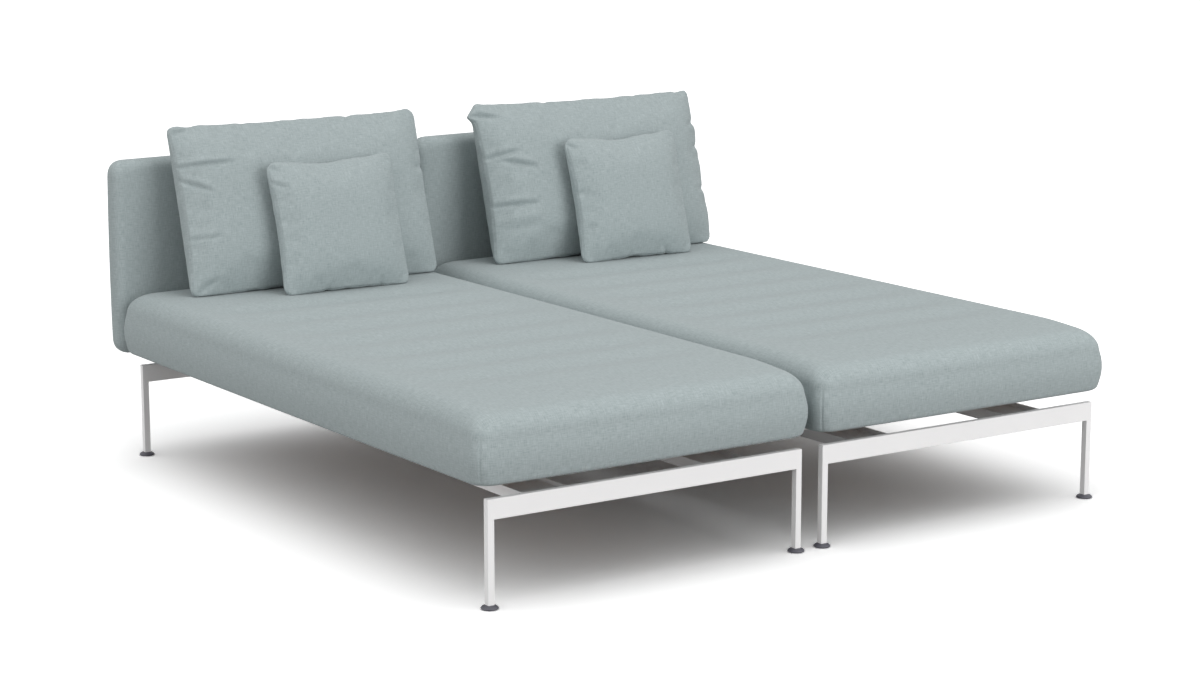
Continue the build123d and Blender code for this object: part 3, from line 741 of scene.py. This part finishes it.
def tug(points, half, place, pull, width):
    """Move the cloth round one place, given as shares of the half sizes, by pull and less further out."""
    away = points[:, :2] - np.array((place[0] * half[0], place[1] * half[1]))
    near = np.exp(-((away / width) ** 2).sum(1))
    return points + near[:, None] * np.array(pull)


def press_seams(piece, seams):
    """Press a fine groove along the seams of a pillow, whose points keep their numbers when it is rounded."""
    points = coordinates(piece)
    tree = KDTree(len(seams) * SEAM_SAMPLES)
    half = len(seams) // 2
    for loop in (seams[:half], seams[half:]):
        for here, there in zip(loop, loop[1:] + loop[:1]):
            for step in range(SEAM_SAMPLES):
                share = step / SEAM_SAMPLES
                tree.insert(points[here] * (1 - share) + points[there] * share, 0)
    tree.balance()
    away = np.array([tree.find(point)[2] for point in points])
    normals = np.zeros(len(points) * 3)
    piece.data.vertices.foreach_get("normal", normals)
    depth = SEAM_GROOVE * np.exp(-((away / SEAM_WIDTH) ** 2))
    move_to(piece, points - depth[:, None] * normals.reshape(-1, 3))


def make_pillow(node, form, nicks, folds, tugs):
    """One pillow: sewn, settled, folded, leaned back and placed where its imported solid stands."""
    low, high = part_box(node)
    size = (high.x - low.x, form["height"])
    half = (size[0] / 2, size[1] / 2)
    shape = (form["edge"], form["crowns"], form["reach"], form["corner"], form["cell"], form["draw"])
    piece, seams = sewn_form(node + "_cushion", size, *shape, nicks)
    settle(piece, seams)
    subdivide(piece, 2)
    points = coordinates(piece)
    for start, end, depth, width in folds:
        points = fold(points, half, start, end, depth, width)
    for place, pull, width in tugs:
        points = tug(points, half, place, pull, width)
    move_to(piece, points)
    press_seams(piece, seams)
    lay_weave(piece)
    x, y, z = coordinates(piece).T
    turn = math.radians(PILLOW_LEAN)
    back = (y + half[1]) * math.sin(turn) - z * math.cos(turn)
    up = (y + half[1]) * math.cos(turn) + z * math.sin(turn)
    back += (low.y + high.y) / 2 - (back.min() + back.max()) / 2
    up = np.maximum(up + low.z - up.min() - SINK, low.z)
    move_to(piece, np.column_stack([x + (low.x + high.x) / 2, back, up]))
    return dress(piece, node)


# %% [markdown]
# The two big pillows are cut from one pattern and the two small ones from another. What differs is how each
# has been plumped: where its seam is nicked, where its panel folds and where its cloth is tugged. Places are
# shares of the half width and half height from the middle of the pillow, and depths, pulls and widths are
# real sizes. A fold with a negative depth is a ridge.

# %% Pillows
PILLOW_LEAN = 16.0
SINK = 6 * MM
BIG = {
    "height": 430 * MM,
    "edge": 14 * MM,
    "crowns": (58 * MM, 79 * MM),
    "reach": 100 * MM,
    "corner": 25 * MM,
    "draw": 7 * MM,
    "cell": 11 * MM,
}
SMALL = {
    "height": 337 * MM,
    "edge": 11 * MM,
    "crowns": (48 * MM, 35 * MM),
    "reach": 78 * MM,
    "corner": 26 * MM,
    "draw": 7 * MM,
    "cell": 9 * MM,
}
PLUMPED = {
    "left_big_pillow": (
        BIG,
        [
            ((-0.42, 1), 2.5 * MM, 9 * MM),
            ((0.42, 1), 5 * MM, 8 * MM),
            ((-0.86, 1), 4 * MM, 24 * MM),
            ((1, 0.28), 4 * MM, 8 * MM),
        ],
        [
            ((-1.0, 0.5), (-0.58, 0.5), 7 * MM, 5 * MM),
            ((-0.99, 0.36), (-0.79, 0.17), 7 * MM, 5 * MM),
            ((-0.99, -0.34), (-0.76, -0.35), 3.5 * MM, 5 * MM),
            ((0.43, 0.99), (0.52, 0.82), 3 * MM, 7 * MM),
            ((-0.94, -0.94), (-0.8, -0.8), 4 * MM, 7 * MM),
            ((-0.96, 0.9), (-0.84, 0.93), 5 * MM, 6 * MM),
            ((0.98, 0.3), (0.86, 0.26), 4 * MM, 7 * MM),
        ],
        [
            ((-1.0, 0.97), (-4 * MM, 3 * MM, 4 * MM), 14 * MM),
            ((0.97, 0.98), (0, 4 * MM, 0), 30 * MM),
            ((0.1, 1.0), (0, 2 * MM, 0), 110 * MM),
        ],
    ),
    "right_big_pillow": (
        BIG,
        [
            ((-0.36, 1), 4.5 * MM, 9 * MM),
            ((0.47, 1), 2.5 * MM, 9 * MM),
            ((0.9, 1), 5 * MM, 13 * MM),
            ((1, 0.58), 6 * MM, 9 * MM),
            ((1, 0.26), 5 * MM, 8 * MM),
            ((1, -0.3), 5 * MM, 9 * MM),
        ],
        [
            ((-0.99, 0.3), (-0.72, 0.36), 7 * MM, 6 * MM),
            ((-0.86, 0.25), (-0.6, 0.13), 8 * MM, 6 * MM),
            ((-0.98, -0.29), (-0.62, -0.31), 7 * MM, 6 * MM),
            ((-0.92, -0.02), (-0.66, -0.04), -3 * MM, 26 * MM),
            ((-0.94, -0.46), (-0.6, -0.44), -2.5 * MM, 12 * MM),
            ((-0.92, -0.6), (-0.62, -0.57), 3 * MM, 11 * MM),
            ((-0.99, 0.86), (-0.8, 0.78), 8 * MM, 6 * MM),
            ((0.99, 0.58), (0.86, 0.52), 5 * MM, 7 * MM),
            ((0.99, 0.26), (0.88, 0.24), 4 * MM, 7 * MM),
            ((0.99, -0.3), (0.84, -0.28), 4 * MM, 7 * MM),
        ],
        [
            ((-1.0, 0.86), (-15 * MM, -2 * MM, 2 * MM), 13 * MM),
            ((-0.97, 1.0), (-2 * MM, 4 * MM, 3 * MM), 16 * MM),
            ((1.0, 1.0), (2 * MM, 8 * MM, 2 * MM), 15 * MM),
            ((1.0, 0.42), (5 * MM, 0, 0), 26 * MM),
            ((1.0, 0.0), (4 * MM, 0, 0), 40 * MM),
            ((1.0, -0.6), (5 * MM, 0, 0), 46 * MM),
        ],
    ),
    "left_small_pillow": (
        SMALL,
        [
            ((-0.15, 1), 5 * MM, 60 * MM),
            ((-0.35, -1), 5 * MM, 7 * MM),
            ((0.5, -1), 3 * MM, 7 * MM),
        ],
        [
            ((-0.97, 0.68), (-0.8, 0.58), 4 * MM, 5 * MM),
            ((0.5, -0.99), (0.5, -0.82), 3.5 * MM, 5 * MM),
            ((-0.35, -0.99), (-0.3, -0.84), 3 * MM, 6 * MM),
            ((-0.98, 0.93), (-0.84, 0.84), 3.5 * MM, 5 * MM),
        ],
        [
            ((1.0, -1.0), (3 * MM, -1 * MM, 0), 16 * MM),
            ((0.96, 1.0), (2 * MM, 4 * MM, 0), 30 * MM),
        ],
    ),
    "right_small_pillow": (
        SMALL,
        [
            ((-0.1, 1), 6 * MM, 60 * MM),
            ((0.5, -1), 5 * MM, 7 * MM),
            ((-0.1, -1), 2 * MM, 30 * MM),
        ],
        [
            ((-0.98, 0.9), (-0.84, 0.8), 4 * MM, 5 * MM),
            ((0.5, -0.99), (0.42, -0.84), 4 * MM, 5 * MM),
            ((-0.2, -0.99), (-0.18, -0.86), 2.5 * MM, 5 * MM),
            ((-0.97, 0.1), (-0.8, 0.12), 2 * MM, 8 * MM),
            ((-0.97, -0.5), (-0.78, -0.44), 2 * MM, 8 * MM),
        ],
        [
            ((1.0, -1.0), (3 * MM, -1 * MM, 0), 16 * MM),
            ((0.96, 1.0), (2 * MM, 4 * MM, 0), 30 * MM),
        ],
    ),
}
for node, (form, nicks, folds, tugs) in PLUMPED.items():
    make_pillow(node, form, nicks, folds, tugs)
print("pillows", len(PLUMPED))

# %% [markdown]
# The set is a seamless white studio: one pale floor that runs past the edge of the picture. A white floor
# under plain light is a little darker than white on the screen, so where it is seen, straight or mirrored,
# its colour is raised until the lit part is white, while the shadow keeps its shape. The floor lights the
# lounger with its true colour.

# %% Floor
FLOOR_SIZE = 60.0
FLOOR_COLOUR = 0.42
FLOOR_SHOWN = 1.65


def make_floor():
    """A wide flat floor whose lit part shows white."""
    mesh = bpy.data.meshes.new("studio_floor")
    h = FLOOR_SIZE / 2
    mesh.from_pydata([(-h, -h, 0), (h, -h, 0), (h, h, 0), (-h, h, 0)], [], [(0, 1, 2, 3)])
    floor = bpy.data.objects.new("studio_floor", mesh)
    bpy.context.scene.collection.objects.link(floor)
    material = bpy.data.materials.new("white_paper")
    material.use_nodes = True
    tree = material.node_tree
    tree.nodes.clear()
    shown = {"Value": seen_directly(tree), "To Min": FLOOR_COLOUR, "To Max": FLOOR_SHOWN}
    level = add(tree, "ShaderNodeMapRange", shown)
    colour = add(tree, "ShaderNodeCombineXYZ", {axis: level.outputs["Result"] for axis in ("X", "Y", "Z")})
    paper = add(tree, "ShaderNodeBsdfDiffuse", {"Color": colour.outputs["Vector"]})
    add(tree, "ShaderNodeOutputMaterial", {"Surface": paper.outputs["BSDF"]})
    mesh.materials.append(material)
    return floor


FLOOR = make_floor()

# %% [markdown]
# Studio light for pale furniture is broad and soft. A ceiling that glows brightest straight overhead gives
# the dark, soft shadow right under the lounger, and a weaker glow low on the left and in front opens that
# shadow a little. Two wide panels light the upright faces, one from in front and a weaker one from the left.
# They leave the floor out, because a floor that they lit under the lounger would lose that shadow. Where the
# sky is seen, straight or mirrored, it is plain white.

# %% Light
SKY_ABOVE = 1.61
SKY_ABOVE_POWER = 3.0
SKY_LEFT = 0.51
SKY_FRONT = 0.38
PANEL_SIZE = 7.0
PANELS = {
    "front_panel": ((2.8, -9.4, 4.0), 515),
    "left_panel": ((-8.5, -1.0, 1.8), 215),
}


def make_light():
    """A world that is brightest overhead, and two panels that leave the floor out."""
    world = bpy.data.worlds.new("studio_white")
    bpy.context.scene.world = world
    world.use_nodes = True
    tree = world.node_tree
    tree.nodes.clear()
    towards = add(tree, "ShaderNodeTexCoord").outputs["Generated"]
    split = add(tree, "ShaderNodeSeparateXYZ", {"Vector": towards})
    height = add(tree, "ShaderNodeClamp", {"Value": split.outputs["Z"]}).outputs["Result"]
    crest = add(tree, "ShaderNodeMath", {0: height, 1: SKY_ABOVE_POWER}, operation="POWER").outputs["Value"]
    low = add(tree, "ShaderNodeMath", {0: 1.0, 1: height}, operation="SUBTRACT").outputs["Value"]
    span = {"From Min": 1.0, "From Max": -1.0}
    left = add(tree, "ShaderNodeMapRange", {"Value": split.outputs["X"], "To Max": SKY_LEFT, **span})
    front = add(tree, "ShaderNodeMapRange", {"Value": split.outputs["Y"], "To Max": SKY_FRONT, **span})
    sides = add(tree, "ShaderNodeMath", {0: left.outputs["Result"], 1: front.outputs["Result"]})
    around = add(tree, "ShaderNodeMath", {0: low, 1: sides.outputs["Value"]}, operation="MULTIPLY")
    parts = {0: crest, 1: SKY_ABOVE, 2: around.outputs["Value"]}
    sky = add(tree, "ShaderNodeMath", parts, operation="MULTIPLY_ADD")
    shown = {"Value": seen_directly(tree), "To Min": sky.outputs["Value"], "To Max": 1.0}
    level = add(tree, "ShaderNodeMapRange", shown)
    white = add(tree, "ShaderNodeBackground", {"Color": (1, 1, 1, 1), "Strength": level.outputs["Result"]})
    add(tree, "ShaderNodeOutputWorld", {"Surface": white.outputs["Background"]})
    unlit = bpy.data.collections.new("unlit_by_panels")
    unlit.objects.link(FLOOR)
    unlit.collection_objects[0].light_linking.link_state = "EXCLUDE"
    for name, (place, power) in PANELS.items():
        lamp = bpy.data.lights.new(name, "AREA")
        lamp.shape = "SQUARE"
        lamp.size = PANEL_SIZE
        lamp.energy = power
        panel = bpy.data.objects.new(name, lamp)
        panel.location = place
        panel.rotation_euler = (-Vector(place)).to_track_quat("-Z", "Y").to_euler()
        panel.light_linking.receiver_collection = unlit
        bpy.context.scene.collection.objects.link(panel)


make_light()

# %% [markdown]
# The camera stands where the photographer stood. Its place and aim were worked out from the straight edges of
# the leg frames, and its lens from how fast they shrink with distance.

# %% Camera
CAMERA_PLACE = (-3.67266, -5.48737, 1.61136)
CAMERA_YAW = 33.993
CAMERA_PITCH = 10.950
PICTURE_WIDTH = 1200
FOCAL_PIXELS = 2782.6
SENSOR = 36.0
FAR_END = 100.0


def make_camera():
    """A camera with the photograph's place, aim and lens."""
    data = bpy.data.cameras.new("camera")
    data.sensor_width = SENSOR
    data.lens = FOCAL_PIXELS / PICTURE_WIDTH * SENSOR
    data.clip_end = FAR_END
    camera = bpy.data.objects.new("camera", data)
    camera.location = CAMERA_PLACE
    camera.rotation_euler = (math.radians(90 - CAMERA_PITCH), 0, math.radians(-CAMERA_YAW))
    bpy.context.scene.collection.objects.link(camera)
    bpy.context.scene.camera = camera


make_camera()
bpy.context.scene.view_settings.view_transform = "Standard"
